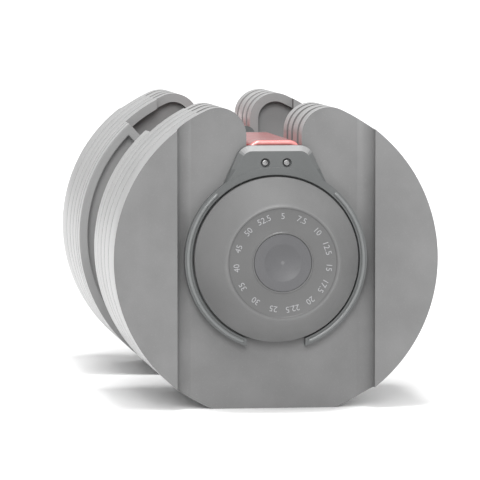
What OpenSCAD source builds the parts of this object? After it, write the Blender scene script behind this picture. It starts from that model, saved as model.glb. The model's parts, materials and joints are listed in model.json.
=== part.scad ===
// Adjustable dumbbell. Two stacks of slotted plates stand on the floor, and a handle drops into
// their slots. The dial at each end of the handle turns a row of selector discs, and the raised
// arcs on those discs catch the lugs of the plates that are to be lifted.
// X runs along the handle and Z is up. The origin is on the floor, under the middle of the handle.

/* [Plates] */
// Diameter of the plates
plate_d = 210; // [208:1:216]
// Height of the handle's axis above the flat that the plates stand on
axis_height = 97; // [94:1:99]
// Width of the slot that the handle drops into
slot_w = 36; // [36:0.5:38]
// Radius of the rounded lobe on each side of the slot
lobe_r = 18; // [17:0.5:19]
// Radial thickness of the raised rim
rim_t = 6; // [5:0.5:7]
// Gap between the rims of neighbouring plates
rim_gap = 1.6; // [1.4:0.1:1.8]
// Distance between the two stacks
stack_gap = 104; // [104:1:120]
// Radius that the two innermost plates of a stack are cut down to, to make room for the hand
low_r = 58; // [56:1:62]
// Half the angle of that cut
low_angle = 42; // [38:1:46]

/* [Channel in the outermost plate] */
// Width of the channel that the dial and its housing sit in
channel_w = 128; // [126:1:132]
// Depth of the channel
channel_depth = 12; // [11.5:0.5:13]
// Radius in the channel's corners
channel_round = 10; // [6:1:11]

/* [Selector discs] */
// Radius of a selector disc
disc_r = 46; // [45:0.5:47]
// Thickness of a disc's web
disc_web = 2.4; // [2:0.1:2.6]
// Height of the lifting arcs on a disc
arc_h = 3; // [2.5:0.1:3.2]
// Inner radius of the lifting arcs
arc_r = 38; // [37.5:0.5:39]
// Radius of the hub that spaces one disc from the next
hub_r = 16.8; // [16.5:0.1:17]
// Width across the flats of the hexagonal drive sleeve
sleeve_flats = 24; // [23:0.5:25]

/* [Dial] */
// Radius of the dial at its foot
dial_r = 53; // [50:1:54]
// Radius of the dial's flat face
dial_face_r = 36; // [33:1:38]
// How far the dial stands out past the stack
dial_proud = 30; // [26:1:32]
// Radius of the cap in the middle of the dial
cap_r = 18.5; // [18:0.5:20]

/* [Handle] */
// Radius of the steel bar
bar_r = 10; // [9:0.5:10]
// Radius of the grip at its ends
grip_r = 15; // [14:0.5:16]
// Radius of the swell in the middle of the grip
grip_swell_r = 17.5; // [17:0.5:19]
// Thickness of the guards on both sides of the hand
guard_t = 4; // [3.5:0.5:5]
// Radius of the guards
guard_r = 52; // [48:1:54]

/* [Bridge and housing] */
// Width of the bridge over the selector discs
bridge_w = 34; // [32:0.5:34.5]
// Height of the bridge's top above the axis
bridge_top = 76; // [74:1:80]
// Outer radius of the ring around the dial
ring_r = 59; // [58:0.5:61]
// Width of the housing's head at its foot
head_w = 72; // [66:1:74]
// Width of the housing's head at its top
head_top_w = 51; // [44:1:54]
// Height of the head's top above the axis
head_top = 73; // [71:1:76]

/* [Hidden] */
$fn = 96;

// Rim width and web thickness of each plate in a stack, from the hand outwards.
rim_w = [11.5, 11.5, 20, 20, 24, 33];
web_t = [3.5, 5, 5, 9, 10, 20];
// The clicks of the dial at which each plate is lifted. At click 0 none of them is.
lifted_at = [
    [1, 3, 5, 7, 14],
    [2, 3, 4, 5, 6, 7, 8, 9, 10, 12, 13, 14],
    [4, 5, 8, 10, 13, 14],
    [6, 7, 8, 9, 10, 11, 12, 13, 14],
    [9, 10, 11, 12, 13, 14],
    [11, 12, 13, 14]
];
plates = len(rim_w);
low_plates = 2;
clicks = 15;
click_angle = 360 / clicks;

far = 300;
plate_r = plate_d / 2;
lobe_across = slot_w / 2 + lobe_r;
lobe_up = sqrt(pow(plate_r - lobe_r, 2) - pow(lobe_across, 2));

// Places along the axis, measured outwards from the middle of the handle.
function sum_to(list, n) = n == 0 ? 0 : list[n - 1] + sum_to(list, n - 1);
function plate_at(i) = stack_gap / 2 + sum_to(rim_w, i) + i * rim_gap;
stack_end = plate_at(plates - 1) + rim_w[plates - 1];
channel_floor = stack_end - channel_depth;
housing_gap = 0.6;
housing_at = channel_floor + housing_gap;
housing_back = 3.8;
dial_at = housing_at + housing_back + housing_gap;
dial_end = stack_end + dial_proud;
guard_end = stack_gap / 2 - 0.6;
guard_at = guard_end - guard_t;
collar_l = 5;
grip_half = guard_at - collar_l;

// Room that a disc needs in the plate it lifts, and the lug that its arcs catch.
disc_room = disc_web + arc_h + 0.8;
disc_side_gap = 2;
lug_w = 11;
lug_h = 7.5;
lug_drop = arc_r - 1.5;
lug_at = disc_web + 0.6;

// Inside of the dial, from its back to its face.
hex_socket = 8.4;
dial_floor = 5.5;
bar_end = dial_at + hex_socket + dial_floor + 1;
cap_t = 5;
cap_sink = 0.8;
running_gap = 0.05;
hex_gap = 0.15;
sleeve_end = dial_at + hex_socket - 0.4;

// Lock pin on the hand's side of the guard, below the grip.
pin_r = 3;
lock_block_t = 11;
pin_at = guard_at - lock_block_t / 2;
lock_block_w = 18;
lock_block_top = -39;
lock_block_h = 10;
pin_travel = 3;
pin_foot_r = 5.5;
pin_foot_t = 3;
spring_l = 8;
spring_wire = 1;
spring_turns = 5;
pin_collar_t = 1.6;
pin_tip = lock_block_top + 0.3 + pin_collar_t;

// Puts a shape drawn in the plane of a plate, and extruded outwards, on the front or rear end.
module on_end(end) {
    translate([0, 0, axis_height])
        rotate([0, 0, end == "rear" ? 180 : 0])
            rotate([90, 0, 90])
                children();
}

module tube(outer, inner, length) {
    difference() {
        cylinder(r = outer, h = length);
        translate([0, 0, -1])
            cylinder(r = inner, h = length + 2);
    }
}

module hexagon(flats, length) {
    cylinder(r = flats / sqrt(3), h = length, $fn = 6);
}

// The wedge above the axis that the two low plates are cut down in, set back by inset.
module low_wedge(inset) {
    difference() {
        translate([0, -inset / sin(low_angle)])
            polygon([
                [0, 0],
                [far * sin(low_angle), far * cos(low_angle)],
                [-far * sin(low_angle), far * cos(low_angle)]
            ]);
        circle(r = low_r - inset);
    }
}

// The corner that is cut away outside one lobe.
module lobe_corner(inset) {
    beyond = 1 + 30 / (plate_r - lobe_r);
    side = slot_w / 2 + inset - 1;
    difference() {
        polygon([
            [lobe_across, lobe_up],
            [side, lobe_up],
            [side, plate_r + 5],
            [lobe_across * beyond, lobe_up * beyond]
        ]);
        translate([lobe_across, lobe_up])
            circle(r = lobe_r - inset);
    }
}

// Outline of a plate, set back by inset all round.
module plate_outline(inset, low) {
    half_slot = slot_w / 2 + inset;
    difference() {
        circle(r = plate_r - inset);
        circle(r = half_slot);
        translate([-half_slot, 0])
            square([2 * half_slot, far]);
        translate([-far, -axis_height + inset - far])
            square([2 * far, far]);
        if (low)
            low_wedge(inset);
        else
            for (side = [0, 1])
                mirror([side, 0])
                    lobe_corner(inset);
    }
}

// The space that a disc sweeps as it turns, and as it leaves upwards.
module disc_passage() {
    r = disc_r + disc_side_gap;
    translate([0, 0, -1]) {
        cylinder(r = r, h = disc_room + 1);
        translate([-r, 0, 0])
            cube([2 * r, far, disc_room + 1]);
    }
}

// Full-height channel for the dial, open at the top, with rounded inner corners.
module dial_channel() {
    half = channel_w / 2;
    translate([0, far, 0])
        rotate([90, 0, 0])
            linear_extrude(2 * far) {
                translate([channel_round - half, 0])
                    square([channel_w - 2 * channel_round, far]);
                translate([-half, channel_round])
                    square([channel_w, far]);
                for (side = [-1, 1])
                    translate([side * (half - channel_round), channel_round])
                        circle(r = channel_round);
            }
}

module plate(i) {
    low = i < low_plates;
    pocket = rim_w[i] - web_t[i];
    color("slategray")
        translate([0, 0, plate_at(i)]) {
            difference() {
                linear_extrude(rim_w[i])
                    plate_outline(0, low);
                translate([0, 0, -1])
                    linear_extrude(pocket + 1)
                        plate_outline(rim_t, low);
                disc_passage();
                if (i == plates - 1)
                    translate([0, 0, rim_w[i] - channel_depth])
                        dial_channel();
            }
            translate([-lug_w / 2, -lug_drop, lug_at])
                cube([lug_w, lug_h, pocket - lug_at + 1]);
        }
}

// Outline of the lifting arcs: a ring with a gap at each click that doesn't lift the plate.
module arcs_outline(i) {
    half = click_angle / 2 + 0.1;
    inner = arc_r / 2;
    difference() {
        circle(r = disc_r);
        circle(r = arc_r);
        for (click = [0 : clicks - 1])
            if (len(search(click, lifted_at[i])) == 0)
                rotate(-90 - click_angle * click)
                    polygon([
                        [inner * cos(half), -inner * sin(half)],
                        [far * cos(half), -far * sin(half)],
                        [far * cos(half), far * sin(half)],
                        [inner * cos(half), inner * sin(half)]
                    ]);
    }
}

module selector_disc(i) {
    hub_end = i == plates - 1 ? dial_at : plate_at(i + 1);
    color("dimgray")
        translate([0, 0, plate_at(i)])
            difference() {
                union() {
                    cylinder(r = disc_r, h = disc_web);
                    translate([0, 0, disc_web])
                        linear_extrude(arc_h)
                            arcs_outline(i);
                    cylinder(r = hub_r, h = hub_end - plate_at(i));
                }
                translate([0, 0, -1])
                    hexagon(sleeve_flats + 2 * hex_gap, far);
            }
}

module drive_sleeve() {
    start = stack_gap / 2;
    color("silver")
        translate([0, 0, start])
            difference() {
                hexagon(sleeve_flats, sleeve_end - start);
                translate([0, 0, -1])
                    cylinder(r = bar_r + running_gap, h = far);
            }
}

module dial() {
    foot = 7;
    edge = 2.5;
    depth = dial_end - dial_at;
    color("gray")
        translate([0, 0, dial_at])
            difference() {
                rotate_extrude()
                    polygon([
                        [0, 0],
                        [dial_r, 0],
                        [dial_r, foot],
                        [dial_r - edge, foot + edge],
                        [dial_face_r + edge, depth - edge],
                        [dial_face_r, depth],
                        [0, depth]
                    ]);
                translate([0, 0, -1])
                    hexagon(sleeve_flats + 2 * hex_gap, hex_socket + 1);
                translate([0, 0, hex_socket - 1])
                    cylinder(r = bar_r + 0.4, h = dial_floor + 2);
                translate([0, 0, hex_socket + dial_floor])
                    cylinder(r = cap_r - 1.5, h = far);
                translate([0, 0, depth - cap_t - cap_sink])
                    cylinder(r = cap_r, h = far);
            }
}

module dial_cap() {
    dish_r = 60;
    dish = 1.2;
    color("dimgray")
        translate([0, 0, dial_end - cap_t - cap_sink])
            difference() {
                cylinder(r = cap_r - 0.2, h = cap_t);
                translate([0, 0, cap_t - dish + dish_r])
                    sphere(r = dish_r);
            }
}

// The trapezium of the housing's head, with rounded corners, set back by inset.
module head_outline(inset) {
    corner = 10;
    foot_up = 40;
    hull() {
        for (side = [-1, 1]) {
            translate([side * (head_top_w / 2 - corner), head_top - corner])
                circle(r = corner - inset, $fn = 32);
            translate([side * (head_w / 2 - corner + inset), foot_up])
                circle(r = corner - inset, $fn = 32);
        }
    }
}

screw_across = 7;
screw_up = 62;
screw_head_r = 2.8;
screw_head_t = 2;
head_t = 9;
head_bevel = 3.5;

// The ring's back edge is cut off, to clear the round corners of the channel.
module housing() {
    ring_t = 4.6;
    ring_h = 9.4;
    ring_cut = 4.5;
    open_w = 38;
    color("dimgray")
        translate([0, 0, housing_at])
            difference() {
                union() {
                    rotate_extrude()
                        polygon([
                            [0, 0],
                            [ring_r - ring_cut, 0],
                            [ring_r, ring_cut],
                            [ring_r, ring_h],
                            [0, ring_h]
                        ]);
                    hull() {
                        linear_extrude(head_t - head_bevel)
                            head_outline(0);
                        linear_extrude(head_t)
                            head_outline(head_bevel);
                    }
                }
                translate([0, 0, housing_back])
                    cylinder(r = ring_r - ring_t, h = far);
                translate([0, 0, -1])
                    cylinder(r = hub_r + housing_gap, h = far);
                translate([-open_w / 2, -far - dial_r + 2, -1])
                    cube([open_w, far, far]);
                for (side = [-1, 1])
                    translate([side * screw_across, screw_up, 0]) {
                        translate([0, 0, head_t - screw_head_t - 0.4])
                            cylinder(r = screw_head_r + 0.2, h = far);
                        translate([0, 0, -1])
                            cylinder(r = 1.6, h = far);
                    }
            }
}

// Block on the guard that the lock pin slides in.
module lock_block() {
    translate([-lock_block_w / 2, lock_block_top - lock_block_h, -lock_block_t])
        cube([lock_block_w, lock_block_h, lock_block_t + 1]);
}

module housing_screws() {
    color("silver")
        for (side = [-1, 1])
            translate([side * screw_across, screw_up, housing_at + 0.3]) {
                translate([0, 0, head_t - screw_head_t - 0.7])
                    difference() {
                        cylinder(r = screw_head_r, h = screw_head_t);
                        translate([0, 0, screw_head_t - 1])
                            hexagon(2.4, 2);
                    }
                cylinder(r = 1.5, h = head_t - screw_head_t - 0.5);
            }
}

// Section of the bridge: a channel open downwards with a crowned top.
module bridge_section(inset, foot) {
    corner = 7 - inset;
    half = bridge_w / 2 - inset;
    hull() {
        for (side = [-1, 1])
            translate([side * (half - corner), bridge_top - inset - corner])
                circle(r = corner, $fn = 48);
        translate([-half, foot])
            square([2 * half, 1]);
    }
}

module bridge() {
    wall = 3.2;
    foot = disc_r + 4;
    color("firebrick")
        translate([0, 0, guard_end])
            linear_extrude(housing_at - guard_end)
                difference() {
                    bridge_section(0, foot);
                    bridge_section(wall, foot - 2);
                }
}

guard_screw_across = 9;
guard_screw_up = 60;

module guard() {
    boss_r = 19;
    color("dimgray")
        translate([0, 0, guard_at])
            difference() {
                union() {
                    cylinder(r = guard_r, h = guard_t);
                    linear_extrude(guard_t)
                        bridge_section(0, 30);
                    lock_block();
                }
                translate([0, lock_block_top + 1, pin_at - guard_at])
                    rotate([90, 0, 0])
                        cylinder(r = pin_r + running_gap, h = lock_block_h + 2);
                translate([0, 0, -1])
                    cylinder(r = bar_r, h = far);
                for (side = [-1, 1])
                    translate([side * guard_screw_across, guard_screw_up, -1])
                        cylinder(r = 1.6, h = far);
                difference() {
                    translate([0, 0, -1])
                        tube(guard_r - 5, boss_r + 4, 2);
                    translate([-lock_block_w / 2 - 3, -far, -1])
                        cube([lock_block_w + 6, far, far]);
                }
            }
}

module guard_screws() {
    head_h = 1.8;
    color("silver")
        for (side = [-1, 1])
            translate([side * guard_screw_across, guard_screw_up, guard_at])
                difference() {
                    union() {
                        translate([0, 0, -head_h])
                            cylinder(r = 3.2, h = head_h);
                        cylinder(r = 1.5, h = guard_t + 8);
                    }
                    translate([0, 0, -head_h - 1])
                        hexagon(2.4, 2);
                }
}

module grip_collar() {
    color("silver")
        translate([0, 0, grip_half])
            difference() {
                rotate_extrude()
                    polygon([
                        [0, 0],
                        [grip_r + 1.2, 0],
                        [grip_r + 3.2, 2],
                        [grip_r + 3.2, collar_l],
                        [0, collar_l]
                    ]);
                translate([0, 0, -1])
                    cylinder(r = bar_r, h = far);
            }
}

washer_t = 2.5;

module retaining_washer() {
    color("silver")
        translate([0, 0, bar_end])
            tube(15, 4.1, washer_t);
}

module end_screw() {
    head_r = 6.5;
    head_h = 4.5;
    color("silver")
        translate([0, 0, bar_end]) {
            translate([0, 0, -14])
                cylinder(r = 4, h = 14 + washer_t);
            translate([0, 0, washer_t])
                difference() {
                    cylinder(r = head_r, h = head_h);
                    translate([0, 0, head_h - 2.5])
                        hexagon(6, 4);
                }
        }
}

module lock_pin() {
    foot_at = lock_block_top - lock_block_h - spring_l - pin_foot_t;
    color("silver")
        translate([0, foot_at, pin_at])
            rotate([-90, 0, 0]) {
                cylinder(r = pin_foot_r, h = pin_foot_t);
                cylinder(r = pin_r, h = pin_tip - foot_at);
                translate([0, 0, lock_block_top + 0.3 - foot_at])
                    cylinder(r = pin_r + 1, h = pin_collar_t);
            }
}

// Points of a ring of the spring's wire, at turn t of the coil.
function spring_ring(t, sides, coil_r, pitch) = [
    for (s = [0 : sides - 1])
        let (a = 360 * t, r = coil_r + spring_wire / 2 * cos(360 * s / sides))
            [r * cos(a), r * sin(a), pitch * t + spring_wire / 2 * sin(360 * s / sides)]
];

module lock_spring() {
    sides = 6;
    steps = 12;
    coil_r = pin_r + 1.3;
    clear = 0.1;
    pitch = (spring_l - spring_wire - 2 * clear) / spring_turns;
    rings = spring_turns * steps;
    points = [for (i = [0 : rings]) each spring_ring(i / steps, sides, coil_r, pitch)];
    walls = [
        for (i = [0 : rings - 1])
            for (s = [0 : sides - 1])
                let (n = (s + 1) % sides, a = i * sides, b = a + sides)
                    [a + s, b + s, b + n, a + n]
    ];
    ends = [
        [for (s = [0 : sides - 1]) s],
        [for (s = [sides - 1 : -1 : 0]) rings * sides + s]
    ];
    color("silver")
        translate([0, lock_block_top - lock_block_h - spring_l + spring_wire / 2 + clear, pin_at])
            rotate([-90, 0, 0])
                polyhedron(points = points, faces = concat(walls, ends));
}

module handle_bar() {
    color("silver")
        translate([-bar_end, 0, axis_height])
            rotate([0, 90, 0])
                difference() {
                    cylinder(r = bar_r, h = 2 * bar_end);
                    for (end = [0, 2 * bar_end])
                        translate([0, 0, end - 15])
                            cylinder(r = 4, h = 30);
                }
}

// Rubber sleeve that swells towards the middle of the hand.
module grip() {
    steps = 24;
    swell = grip_swell_r - grip_r;
    color("dimgray")
        translate([0, 0, axis_height])
            rotate([0, 90, 0])
                difference() {
                    rotate_extrude()
                        polygon([
                            [0, -grip_half],
                            for (i = [0 : steps])
                                let (t = 2 * i / steps - 1)
                                    [grip_r + swell * (1 - t * t), t * grip_half],
                            [0, grip_half]
                        ]);
                    translate([0, 0, -far / 2])
                        cylinder(r = bar_r, h = far);
                }
}

handle_bar();
grip();
for (end = ["front", "rear"]) {
    for (i = [0 : plates - 1]) {
        on_end(end) plate(i);
        on_end(end) selector_disc(i);
    }
    on_end(end) dial();
    on_end(end) dial_cap();
    on_end(end) drive_sleeve();
    on_end(end) housing();
    on_end(end) housing_screws();
    on_end(end) bridge();
    on_end(end) guard();
    on_end(end) guard_screws();
    on_end(end) grip_collar();
    on_end(end) retaining_washer();
    on_end(end) end_screw();
    on_end(end) lock_pin();
    on_end(end) lock_spring();
}
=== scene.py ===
import json
import math

import bmesh
import bpy
from mathutils import Matrix, Vector


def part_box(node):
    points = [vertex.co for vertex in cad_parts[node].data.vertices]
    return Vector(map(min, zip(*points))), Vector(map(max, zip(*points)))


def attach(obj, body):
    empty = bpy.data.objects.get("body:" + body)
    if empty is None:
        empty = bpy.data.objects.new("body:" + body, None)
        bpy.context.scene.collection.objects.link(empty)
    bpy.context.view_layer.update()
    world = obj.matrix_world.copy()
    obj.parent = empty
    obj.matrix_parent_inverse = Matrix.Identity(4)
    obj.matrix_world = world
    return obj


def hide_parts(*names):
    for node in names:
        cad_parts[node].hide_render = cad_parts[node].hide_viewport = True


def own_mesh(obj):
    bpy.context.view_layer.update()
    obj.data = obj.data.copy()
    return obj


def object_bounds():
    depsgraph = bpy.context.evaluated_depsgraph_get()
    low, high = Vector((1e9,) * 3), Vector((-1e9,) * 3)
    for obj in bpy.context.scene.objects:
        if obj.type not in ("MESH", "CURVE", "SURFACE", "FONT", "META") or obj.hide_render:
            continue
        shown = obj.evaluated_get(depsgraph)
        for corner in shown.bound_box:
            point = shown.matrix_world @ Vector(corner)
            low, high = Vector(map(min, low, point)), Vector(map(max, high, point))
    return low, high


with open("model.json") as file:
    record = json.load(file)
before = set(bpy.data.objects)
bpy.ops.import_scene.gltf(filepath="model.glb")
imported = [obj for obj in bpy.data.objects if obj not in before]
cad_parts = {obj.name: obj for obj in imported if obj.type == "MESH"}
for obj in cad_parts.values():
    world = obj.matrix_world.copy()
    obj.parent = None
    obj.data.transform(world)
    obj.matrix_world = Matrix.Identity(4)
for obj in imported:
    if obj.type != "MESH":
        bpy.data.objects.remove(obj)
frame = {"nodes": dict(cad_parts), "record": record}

nodes = frame["nodes"]
cad_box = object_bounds()
ENDS = {"front": 1, "rear": -1}
MM = 0.001


# ---------------------------------------------------------------- places and sizes

def reach(node):
    """How near to the middle and how far out along the handle a node lies."""
    low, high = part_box(node)
    return sorted((abs(low.x), abs(high.x)))


# From the frame.
AXIS_Z = (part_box("handle_bar")[0].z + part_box("handle_bar")[1].z) / 2
PLATE_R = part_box("front_plate_3")[1].y

# As in the CAD: the slot, the lobes beside it, and the dial's flat face.
SLOT_HALF = 18 * MM
LOBE_R = 18 * MM
LOBE_Y = SLOT_HALF + LOBE_R
LOBE_Z = math.sqrt((PLATE_R - LOBE_R) ** 2 - LOBE_Y**2)
DIAL_FACE_R = 36 * MM

# Where the painted highlight on the head's top edge is put: between two heights over the axis, and this far
# out along it. The red bridge's painted highlight starts at the same distance out.
HEAD_LOW = 58 * MM
HEAD_HIGH = 90 * MM
HEAD_START = 160 * MM


# ---------------------------------------------------------------- shader helpers

NOISE_LOW = 0.3
NOISE_HIGH = 0.7
NOISE_ROUGHNESS = 0.55


def srgb(value):
    """A grey or a colour as the screen shows it, 0 to 255, as the linear RGBA a shader takes."""
    parts = value if isinstance(value, tuple) else (value, value, value)
    linear = [(c / 255 / 12.92) if c <= 10 else ((c / 255 + 0.055) / 1.055) ** 2.4 for c in parts]
    return (*linear, 1.0)


class Shader:
    """A material's node tree, with one method for each kind of node the materials use."""

    def __init__(self, name, **constants):
        self.material = bpy.data.materials.new(name)
        self.material.use_nodes = True
        self.tree = self.material.node_tree
        self.bsdf = self.tree.nodes["Principled BSDF"]
        for socket, value in constants.items():
            self.bsdf.inputs[socket.replace("_", " ")].default_value = value
        self.coords = self.tree.nodes.new("ShaderNodeTexCoord").outputs["Object"]

    def put(self, socket, value):
        """Links an output to a socket, or sets the socket's value."""
        if isinstance(value, bpy.types.NodeSocket):
            self.tree.links.new(value, socket)
        elif value is not None:
            socket.default_value = value

    def math(self, operation, a, b=None):
        node = self.tree.nodes.new("ShaderNodeMath")
        node.operation = operation
        self.put(node.inputs[0], a)
        self.put(node.inputs[1], b)
        return node.outputs[0]

    def every(self, mask, *others):
        """1 where every mask is 1: their product."""
        for other in others:
            mask = self.math("MULTIPLY", mask, other)
        return mask

    def either(self, mask, *others):
        """1 where any mask is 1: the largest of them."""
        for other in others:
            mask = self.math("MAXIMUM", mask, other)
        return mask

    def length(self, a, b):
        """The length of a vector from its two parts."""
        return self.math("SQRT", self.math("ADD", self.math("POWER", a, 2.0), self.math("POWER", b, 2.0)))

    def ramp(self, value, low, high, to_low=0.0, to_high=1.0):
        node = self.tree.nodes.new("ShaderNodeMapRange")
        node.interpolation_type = "SMOOTHSTEP"
        for socket, item in zip(node.inputs, (value, low, high, to_low, to_high)):
            self.put(socket, item)
        return node.outputs[0]

    def mix(self, share, a, b):
        node = self.tree.nodes.new("ShaderNodeMix")
        node.data_type = "RGBA"
        self.put(node.inputs["Factor"], share)
        self.put(node.inputs[6], a)
        self.put(node.inputs[7], b)
        return node.outputs[2]

    def vary(self, noise, low, high):
        """A number that goes from low to high with a noise."""
        return self.ramp(noise, NOISE_LOW, NOISE_HIGH, low, high)

    def blend(self, noise, low, high):
        """A colour that goes from one to another with a noise."""
        return self.mix(self.vary(noise, 0.0, 1.0), low, high)

    def split(self, vector):
        node = self.tree.nodes.new("ShaderNodeSeparateXYZ")
        self.put(node.inputs[0], vector)
        return node.outputs

    def stretch(self, x, y, z):
        """The object's coordinates scaled along each axis, to draw a pattern out in one direction."""
        node = self.tree.nodes.new("ShaderNodeMapping")
        self.put(node.inputs["Vector"], self.coords)
        node.inputs["Scale"].default_value = (x, y, z)
        return node.outputs[0]

    def noise(self, scale, detail=4.0, vector=None):
        node = self.tree.nodes.new("ShaderNodeTexNoise")
        self.put(node.inputs["Vector"], vector or self.coords)
        node.inputs["Scale"].default_value = scale
        node.inputs["Detail"].default_value = detail
        node.inputs["Roughness"].default_value = NOISE_ROUGHNESS
        return node.outputs["Fac"]

    def cells(self, scale):
        node = self.tree.nodes.new("ShaderNodeTexVoronoi")
        self.put(node.inputs["Vector"], self.coords)
        node.inputs["Scale"].default_value = scale
        return node.outputs["Distance"]

    def bump(self, height, distance, strength):
        node = self.tree.nodes.new("ShaderNodeBump")
        node.inputs["Strength"].default_value = strength
        node.inputs["Distance"].default_value = distance
        self.put(node.inputs["Height"], height)
        return node.outputs[0]

    def normal(self):
        return self.tree.nodes.new("ShaderNodeNewGeometry").outputs["Normal"]

    def away(self):
        """How far a face looks away from the hand, along the handle: from -1 to 1."""
        x, _, _ = self.split(self.coords)
        normal_x, _, _ = self.split(self.normal())
        return self.math("MULTIPLY", normal_x, self.math("SIGN", x))

    def finish(self, color, roughness, metallic=None, bump=None):
        self.put(self.bsdf.inputs["Base Color"], color)
        self.put(self.bsdf.inputs["Roughness"], roughness)
        self.put(self.bsdf.inputs["Metallic"], metallic)
        self.put(self.bsdf.inputs["Normal"], bump)
        return self.material


# ---------------------------------------------------------------- materials

RIM_DEPTH = 3.5 * MM
LOBE_DEPTH = 4 * MM
SLOT_MARGIN = 2 * MM
PEBBLES = 1400.0
PEBBLE_DEPTH = 0.10 * MM
BRUSHED_DEPTH = 0.01 * MM


def plate_masks(s):
    """Two masks: a plate's outer edge, lobes and slot, and its faces that look towards the hand, where
    painted light lifts the shade.
    """
    _, y, z = s.split(s.coords)
    across = s.math("ABSOLUTE", y)
    up = s.math("SUBTRACT", z, AXIS_Z)
    radius = s.length(across, up)
    normal_x, normal_y, normal_z = s.split(s.normal())
    from_axis = s.math("ADD", s.math("MULTIPLY", normal_y, y), s.math("MULTIPLY", normal_z, up))
    outward = s.math("DIVIDE", from_axis, radius)
    outer = s.every(s.math("GREATER_THAN", radius, PLATE_R - RIM_DEPTH), s.ramp(outward, 0.6, 0.75))
    in_slot = s.every(
        s.math("LESS_THAN", across, SLOT_HALF + SLOT_MARGIN),
        s.math("GREATER_THAN", up, 0.0))
    slot_end = s.math("LESS_THAN", radius, SLOT_HALF + SLOT_MARGIN)
    from_lobe = s.length(s.math("SUBTRACT", across, LOBE_Y), s.math("SUBTRACT", up, LOBE_Z))
    on_lobe = s.every(
        s.math("GREATER_THAN", from_lobe, LOBE_R - LOBE_DEPTH),
        s.math("GREATER_THAN", up, LOBE_Z),
        s.math("LESS_THAN", across, s.math("MULTIPLY", up, LOBE_Y / LOBE_Z)))
    sideways = s.ramp(s.math("ABSOLUTE", normal_x), 0.72, 0.62)
    inward_painted_light = s.ramp(s.away(), -0.5, -0.8)
    return s.every(s.either(outer, on_lobe, in_slot, slot_end), sideways), inward_painted_light


def plate_material():
    """Painted iron with a fine grain on the faces, and brighter turned metal round the rim and slot. The
    faces that look towards the hand are lightened, a painted light that lifts the shade in the pockets.
    """
    s = Shader("plate_iron", Specular_IOR_Level=0.45)
    rim, inward_painted_light = plate_masks(s)
    cloud = s.noise(22.0, 5.0)
    grain = s.noise(900.0, 3.0)
    face = s.blend(cloud, srgb(103), srgb(114))
    face = s.mix(s.ramp(grain, 0.55, 0.8, 0.0, 0.3), face, srgb(132))
    # Painted light: the faces that look towards the hand are lightened, to lift the shade that falls in the
    # pockets between the plates.
    face = s.mix(s.math("MULTIPLY", inward_painted_light, 0.45), face, srgb(150))
    band = s.blend(cloud, srgb(178), srgb(189))
    turning = s.noise(60.0, 3.0, s.stretch(60.0, 1.0, 1.0))
    band = s.mix(s.ramp(turning, 0.35, 0.7, 0.0, 0.5), band, srgb(172))
    color = s.mix(rim, face, band)
    roughness = s.ramp(rim, 0.0, 1.0, 0.52, 0.36)
    metallic = s.ramp(rim, 0.0, 1.0, 0.0, 0.2)
    height = s.math("ADD", s.math("MULTIPLY", grain, 0.5), s.math("MULTIPLY", cloud, 0.5))
    return s.finish(color, roughness, metallic, s.bump(height, 0.12 * MM, 0.6))


def pitted(s, grain, color, pit):
    """A plastic's colour, with a darker one in the pits of its grain."""
    return s.mix(s.ramp(grain, 0.0, 0.5, 0.25, 0.0), color, pit)


def uneven_gloss(s, low, high):
    return s.vary(s.noise(60.0, 5.0), low, high)


def moulded_plastic(name, shade, roughness):
    """Grained moulded plastic: a fine pebbled texture, and slow changes of tone and gloss."""
    s = Shader(name, Specular_IOR_Level=0.5)
    grain = s.cells(PEBBLES)
    lighter = tuple(c + 6 for c in shade)
    darker = tuple(c - 14 for c in shade)
    color = s.blend(s.noise(18.0), srgb(shade), srgb(lighter))
    color = pitted(s, grain, color, srgb(darker))
    gloss = uneven_gloss(s, roughness - 0.05, roughness + 0.06)
    return s.finish(color, gloss, None, s.bump(grain, PEBBLE_DEPTH, 0.45))


def head_edge_highlight_mask(s):
    """1 on the head's rounded top edge, where it looks both up and away from the hand: where the painted
    highlight goes.
    """
    x, _, z = s.split(s.coords)
    _, _, normal_z = s.split(s.normal())
    away = s.away()
    return s.every(
        s.ramp(away, 0.2, 0.45),
        s.ramp(away, 0.97, 0.85),
        s.ramp(normal_z, 0.3, 0.6),
        s.math("GREATER_THAN", z, AXIS_Z + HEAD_LOW),
        s.math("LESS_THAN", z, AXIS_Z + HEAD_HIGH),
        s.math("GREATER_THAN", s.math("ABSOLUTE", x), HEAD_START))


def housing_material():
    """Grained plastic, with a painted highlight along the top edge of the head."""
    s = Shader("housing_plastic", Specular_IOR_Level=0.5)
    grain = s.cells(PEBBLES)
    color = s.blend(s.noise(18.0), srgb((81, 83, 83)), srgb((87, 89, 89)))
    color = pitted(s, grain, color, srgb((72, 74, 74)))
    # Painted highlight: the head's top edge is lightened to stand for the light glancing off it.
    color = s.mix(s.math("MULTIPLY", head_edge_highlight_mask(s), 0.85), color, srgb(150))
    return s.finish(color, uneven_gloss(s, 0.36, 0.46), None, s.bump(grain, PEBBLE_DEPTH, 0.45))


def red_material():
    """Glossy red plastic under a clear coat, with a pale painted highlight on the end that shows over the
    head.
    """
    s = Shader("red_plastic", Specular_IOR_Level=0.5, Coat_Weight=1.0, Coat_Roughness=0.16)
    x, _, _ = s.split(s.coords)
    end_face_highlight = s.every(
        s.ramp(s.away(), 0.2, 0.45),
        s.math("GREATER_THAN", s.math("ABSOLUTE", x), HEAD_START))
    color = s.blend(s.noise(14.0, 3.0), srgb((200, 84, 82)), srgb((210, 96, 94)))
    # Painted highlight: the end that shows over the head is mixed towards a pale pink.
    color = s.mix(s.math("MULTIPLY", end_face_highlight, 0.6), color, srgb((226, 160, 156)))
    gloss = s.vary(s.noise(90.0, 5.0), 0.26, 0.36)
    return s.finish(color, gloss, None, s.bump(s.noise(260.0, 2.0), 0.05 * MM, 0.25))


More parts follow.
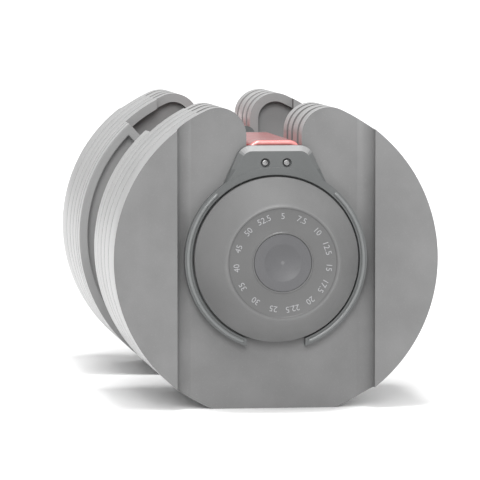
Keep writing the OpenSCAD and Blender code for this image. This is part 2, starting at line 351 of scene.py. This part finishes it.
def steel_material():
    """Bright steel, brushed along the handle."""
    s = Shader("bright_steel", Metallic=1.0)
    brushed = s.noise(90.0, 3.0, s.stretch(1.0, 12.0, 12.0))
    color = s.blend(brushed, srgb(178), srgb(196))
    return s.finish(color, s.vary(brushed, 0.22, 0.3), None, s.bump(brushed, BRUSHED_DEPTH, 0.2))


def screw_material():
    """Duller steel with a fine even grain."""
    s = Shader("screw_steel", Metallic=1.0)
    grain = s.noise(700.0, 3.0)
    color = s.blend(grain, srgb(132), srgb(150))
    return s.finish(color, s.vary(grain, 0.3, 0.42), None, s.bump(grain, BRUSHED_DEPTH, 0.2))


def dial_material():
    """Grained plastic, lighter on the bevel than on the flat face: a painted highlight."""
    s = Shader("dial_plastic", Specular_IOR_Level=0.5)
    _, y, z = s.split(s.coords)
    radius = s.length(y, s.math("SUBTRACT", z, AXIS_Z))
    bevel = s.ramp(radius, DIAL_FACE_R - 1.0 * MM, DIAL_FACE_R + 0.4 * MM)
    cloud = s.noise(18.0)
    grain = s.cells(PEBBLES)
    face = s.blend(cloud, srgb(84), srgb(90))
    # Painted highlight: the bevel gets a lighter tone than the flat face, standing for the light on it.
    side = s.blend(cloud, srgb(108), srgb(115))
    color = pitted(s, grain, s.mix(bevel, face, side), srgb(84))
    return s.finish(color, uneven_gloss(s, 0.36, 0.46), None, s.bump(grain, PEBBLE_DEPTH, 0.4))


def rubber_material():
    s = Shader("grip_rubber", Specular_IOR_Level=0.35)
    grain = s.noise(1500.0, 3.0)
    color = s.blend(s.noise(30.0), srgb(52), srgb(62))
    return s.finish(color, s.vary(grain, 0.62, 0.8), None, s.bump(grain, 0.1 * MM, 0.4))


MATERIALS = {
    "plate_iron": plate_material(),
    "disc_plastic": moulded_plastic("disc_plastic", (74, 75, 77), 0.5),
    "dial_plastic": dial_material(),
    "cap_plastic": moulded_plastic("cap_plastic", (77, 77, 79), 0.46),
    "housing_plastic": housing_material(),
    # The lip is the housing's plastic made lighter: a painted highlight.
    "lip_painted_highlight_plastic": moulded_plastic("lip_painted_highlight_plastic", (108, 110, 110), 0.2),
    "red_plastic": red_material(),
    "grip_rubber": rubber_material(),
    "bright_steel": steel_material(),
    "screw_steel": screw_material(),
    "dial_print": moulded_plastic("dial_print", (142, 142, 144), 0.5),
}


# ---------------------------------------------------------------- CAD nodes that stay

EDGE_ROUND = {
    "plate_iron": 0.9 * MM,
    "dial_plastic": 1.2 * MM,
    "housing_plastic": 1.0 * MM,
    "red_plastic": 1.4 * MM,
}
OTHER_EDGE_ROUND = 0.3 * MM
EDGE_ANGLE = math.radians(32)
WELD_DISTANCE = 0.005 * MM


def dress_cad_nodes():
    """Gives each CAD node its material, and rounds its edges."""
    for row in frame["record"]["subparts"]:
        obj = nodes[row["node"]]
        slot = row["material_slot"]
        obj.data.materials.clear()
        obj.data.materials.append(MATERIALS["screw_steel" if "screw" in row["node"] else slot])
        weld = obj.modifiers.new("weld", "WELD")
        weld.merge_threshold = WELD_DISTANCE
        bevel = obj.modifiers.new("rounded_edges", "BEVEL")
        bevel.width = EDGE_ROUND.get(slot, OTHER_EDGE_ROUND)
        bevel.segments = 3
        bevel.limit_method = "ANGLE"
        bevel.angle_limit = EDGE_ANGLE
        bevel.use_clamp_overlap = True
        bevel.loop_slide = False
        bevel.harden_normals = False


dress_cad_nodes()


# ---------------------------------------------------------------- mesh helpers

ARC_STEPS = 4
SHARP_ANGLE = math.radians(40)


def rounded(corners):
    """A profile whose corners are rounded. Each corner is (across, along, radius)."""
    points = []
    for i, (x, y, radius) in enumerate(corners):
        here = Vector((x, y))
        if radius == 0 or i in (0, len(corners) - 1):
            points.append(here)
            continue
        before = (Vector(corners[i - 1][:2]) - here).normalized()
        after = (Vector(corners[i + 1][:2]) - here).normalized()
        half = before.angle(after) / 2
        tangent = radius / math.tan(half)
        centre = here + (before + after).normalized() * radius / math.sin(half)
        start = (here + before * tangent - centre).normalized()
        end = (here + after * tangent - centre).normalized()
        points += [centre + start.slerp(end, k / ARC_STEPS) * radius for k in range(ARC_STEPS + 1)]
    return points


def new_piece(name, mesh, body, slot, *stands_for, look=None):
    """Links a mesh as a piece that rides on a body. Its look is its slot's unless another is named."""
    obj = bpy.data.objects.new(name, mesh)
    bpy.context.scene.collection.objects.link(obj)
    mesh.materials.append(MATERIALS[look or slot])
    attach(obj, body)
    if stands_for:
        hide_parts(*stands_for)
    return obj


def shade(mesh):
    """Shades smooth except across sharp edges."""
    mesh.shade_smooth()
    mesh.set_sharp_from_angle(angle=SHARP_ANGLE)


def grid_mesh(name, rows, closed_rows=False):
    """A closed mesh of quads through rows of points, each a ring. The end rows are capped, or meet."""
    mesh = bpy.data.meshes.new(name)
    count = len(rows[0])
    faces = []
    last = len(rows) if closed_rows else len(rows) - 1
    for i in range(last):
        a, b = i * count, (i + 1) % len(rows) * count
        for k in range(count):
            n = (k + 1) % count
            faces.append((a + k, a + n, b + n, b + k))
    if not closed_rows:
        faces.append(tuple(range(count - 1, -1, -1)))
        faces.append(tuple((len(rows) - 1) * count + k for k in range(count)))
    mesh.from_pydata([p for row in rows for p in row], [], faces)
    work = bmesh.new()
    work.from_mesh(mesh)
    bmesh.ops.recalc_face_normals(work, faces=work.faces)
    work.to_mesh(mesh)
    work.free()
    shade(mesh)
    return mesh


def joined(name, meshes, merge=0.0):
    """One mesh made of several, which are deleted. Points nearer than merge become one."""
    work = bmesh.new()
    for mesh in meshes:
        work.from_mesh(mesh)
        bpy.data.meshes.remove(mesh)
    if merge:
        bmesh.ops.remove_doubles(work, verts=work.verts, dist=merge)
    whole = bpy.data.meshes.new(name)
    work.to_mesh(whole)
    work.free()
    return whole


def turns(count):
    """Angles evenly round a circle."""
    return [2 * math.pi * k / count for k in range(count)]


def end_point(end, across, up, out):
    """A point of one end, from how far it is across, up from the axis, and out along it."""
    side = ENDS[end]
    return Vector((side * out, side * across, AXIS_Z + up))


# ---------------------------------------------------------------- dial

DIAL_STEPS = 160
DIAL_HOLE_R = 15 * MM
CAP_SEAT_DEPTH = 6.5 * MM
CAP_GAP = 0.25 * MM
PRINT_DEPTH = 0.9 * MM
FOOT_HEIGHT = 7.6 * MM

SETTINGS = ["5", "7.5", "10", "12.5", "15", "17.5", "20", "22.5", "25", "30", "35", "40", "45", "50", "52.5"]
NUMBER_SIZE = 5.4 * MM
NUMBER_RING = 29.6 * MM
NUMBER_RISE = 0.25 * MM


def dial_shell(end):
    """The dial: a straight foot, a long bevel and a flat face with a seat for the cap."""
    foot, face = reach(end + "_dial")
    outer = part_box(end + "_dial")[1].y
    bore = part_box(end + "_dial_cap")[1].y + CAP_GAP
    seat = face - CAP_SEAT_DEPTH
    corners = [
        (bore, seat, 0),
        (DIAL_HOLE_R, seat, 0),
        (DIAL_HOLE_R, foot, 0),
        (outer, foot, 0.3 * MM),
        (outer, foot + FOOT_HEIGHT, 2.4 * MM),
        (DIAL_FACE_R + 1.4 * MM, face - 2.2 * MM, 3.0 * MM),
        (DIAL_FACE_R, face - 0.4 * MM, 0.5 * MM),
        (DIAL_FACE_R - 1.2 * MM, face - 0.4 * MM, 0),
        (DIAL_FACE_R - 1.6 * MM, face - PRINT_DEPTH, 0.2 * MM),
        (bore + 1.2 * MM, face - PRINT_DEPTH, 0.2 * MM),
        (bore + 0.8 * MM, face - 0.5 * MM, 0.3 * MM),
        (bore, face - 0.5 * MM, 0.2 * MM),
        (bore, seat, 0),
    ]
    rows = []
    for radius, out in rounded(corners)[:-1]:
        rows.append([
            end_point(end, radius * math.sin(a), radius * math.cos(a), out) for a in turns(DIAL_STEPS)
        ])
    mesh = grid_mesh(end + "_dial_shell", rows, closed_rows=True)
    return new_piece(end + "_dial_shell", mesh, end + "_dial", "dial_plastic", end + "_dial")


def text_mesh(word):
    """A word as a thin raised mesh, centred, lying in the XY plane."""
    curve = bpy.data.curves.new(word, "FONT")
    curve.body = word
    curve.size = NUMBER_SIZE
    curve.align_x = "CENTER"
    curve.align_y = "CENTER"
    curve.extrude = NUMBER_RISE
    curve.resolution_u = 3
    holder = bpy.data.objects.new(word, curve)
    bpy.context.scene.collection.objects.link(holder)
    bpy.context.view_layer.update()
    mesh = bpy.data.meshes.new_from_object(holder.evaluated_get(bpy.context.evaluated_depsgraph_get()))
    bpy.data.objects.remove(holder)
    bpy.data.curves.remove(curve)
    return mesh


def dial_numbers(end):
    """The settings in pounds round the dial's face. The lightest is at the top when none is lifted."""
    side = ENDS[end]
    face = reach(end + "_dial")[1] - PRINT_DEPTH
    meshes = []
    for word, turn in zip(SETTINGS, turns(len(SETTINGS))):
        mesh = text_mesh(word)
        right = Vector((0, side * math.cos(turn), -math.sin(turn)))
        up = Vector((0, side * math.sin(turn), math.cos(turn)))
        out = Vector((side, 0, 0))
        place = Matrix((right, up, out)).transposed().to_4x4()
        place.translation = end_point(end, 0, 0, face) + up * NUMBER_RING
        mesh.transform(place)
        meshes.append(mesh)
    mesh = joined(end + "_dial_numbers", meshes, merge=0.002 * MM)
    return new_piece(end + "_dial_numbers", mesh, end + "_dial", "dial_plastic", look="dial_print")


# ---------------------------------------------------------------- screws

SCREW_SIDES = 36
SCREW_HEAD_R = 2.25 * MM
SCREW_HEAD_H = 1.5 * MM
SCREW_SHANK_R = 1.4 * MM
SCREW_LENGTH = 6.0 * MM
SCREW_SOCKET_R = 1.25 * MM
WASHER_R = 2.95 * MM
WASHER_H = 0.3 * MM

# The CAD's plain screw heads, which these take the place of.
PLAIN_HEAD_R = 2.8 * MM
PLAIN_HEAD_H = 1.9 * MM


def screw_mesh(centre, out, right):
    """A screw that looks along out: a shank, a domed head and a hexagonal socket."""
    up = out.cross(right)
    sixth = math.pi / 3
    angles = turns(SCREW_SIDES)
    socket = [SCREW_SOCKET_R * math.cos(sixth / 2) / math.cos(a % sixth - sixth / 2) for a in angles]

    def ring(rise, radii):
        return [
            centre + out * rise + (right * math.cos(a) + up * math.sin(a)) * radius
            for a, radius in zip(angles, radii)
        ]

    profile = [
        (0.05 * MM, -SCREW_LENGTH),
        (SCREW_SHANK_R, -SCREW_LENGTH),
        (SCREW_SHANK_R, 0.0),
        (SCREW_HEAD_R, 0.0),
        (SCREW_HEAD_R, SCREW_HEAD_H * 0.45),
        (SCREW_HEAD_R * 0.94, SCREW_HEAD_H * 0.72),
        (SCREW_HEAD_R * 0.8, SCREW_HEAD_H * 0.92),
        (SCREW_HEAD_R * 0.64, SCREW_HEAD_H),
    ]
    rows = [ring(rise, [radius] * SCREW_SIDES) for radius, rise in profile]
    rows += [ring(SCREW_HEAD_H, socket), ring(SCREW_HEAD_H * 0.3, socket)]
    return grid_mesh("screw", rows)


def housing_screws(end):
    """Two socket screws in the counterbores of the housing's head, each on a dark washer."""
    low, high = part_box(end + "_housing_screws")
    side = ENDS[end]
    seat = reach(end + "_housing_screws")[1] - PLAIN_HEAD_H
    across = high.y - PLAIN_HEAD_R
    height = (high.z + low.z) / 2
    screws = []
    washers = bmesh.new()
    for y in (-across, across):
        place = Vector((side * seat, y, height))
        screws.append(screw_mesh(place, Vector((side, 0, 0)), Vector((0, side, 0))))
        under = Matrix.Translation(Vector((side * (seat - WASHER_H / 2), y, height)))
        bmesh.ops.create_cone(
            washers, cap_ends=True, segments=40, radius1=WASHER_R, radius2=WASHER_R, depth=WASHER_H,
            matrix=under @ Matrix.Rotation(math.pi / 2, 4, "Y"))
    mesh = joined(end + "_housing_screw_heads", screws)
    shade(mesh)
    new_piece(mesh.name, mesh, "handle", "bright_steel", end + "_housing_screws", look="screw_steel")
    mesh = bpy.data.meshes.new(end + "_screw_washers")
    washers.to_mesh(mesh)
    washers.free()
    new_piece(mesh.name, mesh, "handle", "housing_plastic", look="disc_plastic")


# ---------------------------------------------------------------- lip round the dial

LIP_R = 56.7 * MM
LIP_WIRE = 1.35 * MM
LIP_SINK = 0.3 * MM
LIP_HALF_GAP = 22 * MM
LIP_START = math.radians(43)
LIP_STEPS = 70
LIP_SIDES = 14
LIP_END_ROWS = 3


def housing_lip(end):
    """A rounded bead on the front of the housing's ring, down each side from the head to the lower gap. Its
    plastic is a lighter copy of the housing's, a painted highlight.
    """
    ring_face = reach(end + "_housing")[1] - LIP_SINK
    last = math.pi - math.asin(LIP_HALF_GAP / LIP_R)
    for hand, name in ((-1, "_lip_left"), (1, "_lip_right")):
        rows = []
        for i in range(-LIP_END_ROWS, LIP_STEPS + LIP_END_ROWS + 1):
            past_end = max(0, -i, i - LIP_STEPS) / LIP_END_ROWS
            wire = LIP_WIRE * math.sqrt(max(0.02, 1 - past_end * past_end))
            turn = LIP_START + (last - LIP_START) * min(max(i, 0), LIP_STEPS) / LIP_STEPS
            along = math.copysign(past_end, i) * LIP_WIRE
            row = []
            for a in turns(LIP_SIDES):
                radius = LIP_R + wire * math.cos(a)
                across = hand * (radius * math.sin(turn) + along * math.cos(turn))
                up = radius * math.cos(turn) - along * math.sin(turn)
                row.append(end_point(end, across, up, ring_face + wire * math.sin(a)))
            rows.append(row)
        mesh = grid_mesh(end + name, rows)
        new_piece(end + name, mesh, "handle", "housing_plastic", look="lip_painted_highlight_plastic")


# ---------------------------------------------------------------- grip

GRIP_RINGS = 200
GRIP_STEPS = 176
GRIP_END_R = 15 * MM
GRIP_END_ROUND = 1.5 * MM
GRIP_END_DROP = 1.2 * MM
KNURL_DEPTH = 0.55 * MM
KNURLS_ROUND = 22
KNURL_MARGIN = 9 * MM
KNURL_FADE = 2 * MM
GROOVE_FROM_END = 6.5 * MM
GROOVE_HALF = 0.9 * MM
GROOVE_DEPTH = 0.5 * MM


def grip_sleeve():
    """The rubber grip: swollen in the middle, with a raised diamond pattern between plain ends."""
    _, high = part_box("grip")
    half = high.x
    middle_r = high.y - KNURL_DEPTH
    pitch = math.pi * 2 * middle_r / KNURLS_ROUND
    rows = []
    for i in range(GRIP_RINGS + 1):
        x = -half + 2 * half * i / GRIP_RINGS
        from_end = half - abs(x)
        base = GRIP_END_R + (middle_r - GRIP_END_R) * (1 - (x / half) ** 2)
        base -= GRIP_END_DROP * max(0.0, 1 - from_end / GRIP_END_ROUND) ** 2
        fade = min(1.0, max(0.0, (from_end - KNURL_MARGIN) / KNURL_FADE))
        groove = max(0.0, 1 - abs(from_end - GROOVE_FROM_END) / GROOVE_HALF)
        row = []
        for turn in turns(GRIP_STEPS):
            u = KNURLS_ROUND * turn / 2 + math.pi * x / pitch
            v = KNURLS_ROUND * turn / 2 - math.pi * x / pitch
            diamond = min(1.0, 1.6 * math.sqrt(abs(math.sin(u) * math.sin(v))))
            radius = base + KNURL_DEPTH * diamond * fade - GROOVE_DEPTH * groove
            row.append(Vector((x, radius * math.sin(turn), AXIS_Z + radius * math.cos(turn))))
        rows.append(row)
    mesh = grid_mesh("grip_sleeve", rows)
    return new_piece("grip_sleeve", mesh, "handle", "grip_rubber", "grip")


# ---------------------------------------------------------------- springs of the lock pins

SPRING_TURNS = 5
SPRING_WIRE_R = 0.5 * MM
SPRING_STEPS = 28 * SPRING_TURNS
SPRING_SIDES = 10


def lock_spring(end):
    """A coil between the guard's block and the pin's foot."""
    low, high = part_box(end + "_lock_spring")
    centre = (low + high) / 2
    coil_r = (high.x - low.x) / 2 - SPRING_WIRE_R
    rise = high.z - low.z - 2 * SPRING_WIRE_R
    rows = []
    for i in range(SPRING_STEPS + 1):
        share = i / SPRING_STEPS
        turn = 2 * math.pi * SPRING_TURNS * share
        out = Vector((math.cos(turn), math.sin(turn), 0))
        middle = Vector((centre.x, centre.y, low.z + SPRING_WIRE_R + rise * share)) + out * coil_r
        rows.append([
            middle + (out * math.cos(a) + Vector((0, 0, 1)) * math.sin(a)) * SPRING_WIRE_R
            for a in turns(SPRING_SIDES)
        ])
    mesh = grid_mesh(end + "_lock_coil", rows)
    coil = new_piece(end + "_lock_coil", mesh, "handle", "bright_steel", end + "_lock_spring")
    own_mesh(coil)


for end in ENDS:
    dial_shell(end)
    dial_numbers(end)
    lock_spring(end)
    housing_screws(end)
    housing_lip(end)
grip_sleeve()


# ---------------------------------------------------------------- floor, light and camera

FLOOR_SIZE = 90.0
FLOOR_SHADE = 246
WORLD_STRENGTH = 0.48
TARGET = Vector((0.0, 0.0, (cad_box[0].z + cad_box[1].z) / 2))
SUN_DISTANCE = 5.0
CAMERA_AZIMUTH = 82.5
CAMERA_ELEVATION = 4.0
CAMERA_DISTANCE = 3.0
CAMERA_LENS = 330.0

# Each sun's azimuth, elevation and strength, and how wide it looks. Angles are in degrees.
SUNS = {
    "key": (68, 62, 1.1, 25),
    "top": (85, 80, 1.2, 12),
    "front": (82, 22, 1.9, 25),
    "fill": (140, 35, 0.4, 40),
    "back": (264, 20, 1.2, 40),
}


def make_stage():
    bpy.ops.mesh.primitive_plane_add(size=FLOOR_SIZE)
    floor = bpy.context.object
    floor.name = "floor"
    s = Shader("floor_paper", Specular_IOR_Level=0.2)
    floor.data.materials.append(s.finish(srgb(FLOOR_SHADE), 0.85))
    world = bpy.data.worlds.new("studio")
    bpy.context.scene.world = world
    world.use_nodes = True
    background = world.node_tree.nodes["Background"]
    background.inputs["Color"].default_value = (1.0, 1.0, 1.0, 1.0)
    background.inputs["Strength"].default_value = WORLD_STRENGTH


def aim(obj, azimuth, elevation, distance):
    """Puts an object round the target, looking at it."""
    a, e = math.radians(azimuth), math.radians(elevation)
    back = Vector((math.sin(a) * math.cos(e), -math.cos(a) * math.cos(e), math.sin(e)))
    obj.location = TARGET + back * distance
    obj.rotation_mode = "QUATERNION"
    obj.rotation_quaternion = (-back).to_track_quat("-Z", "Y")


def make_suns():
    """The suns. The back one gives no gloss, because it would glare off the rims at the camera."""
    for name, (azimuth, elevation, strength, width) in SUNS.items():
        light = bpy.data.lights.new(name, "SUN")
        light.energy = strength
        light.angle = math.radians(width)
        obj = bpy.data.objects.new(name, light)
        bpy.context.scene.collection.objects.link(obj)
        aim(obj, azimuth, elevation, SUN_DISTANCE)
        obj.visible_glossy = name != "back"


def make_camera():
    camera = bpy.data.cameras.new("camera")
    camera.lens = CAMERA_LENS
    camera.clip_end = 100.0
    obj = bpy.data.objects.new("camera", camera)
    bpy.context.scene.collection.objects.link(obj)
    aim(obj, CAMERA_AZIMUTH, CAMERA_ELEVATION, CAMERA_DISTANCE)
    bpy.context.scene.camera = obj


make_stage()
make_suns()
make_camera()
bpy.context.scene.view_settings.view_transform = "Standard"
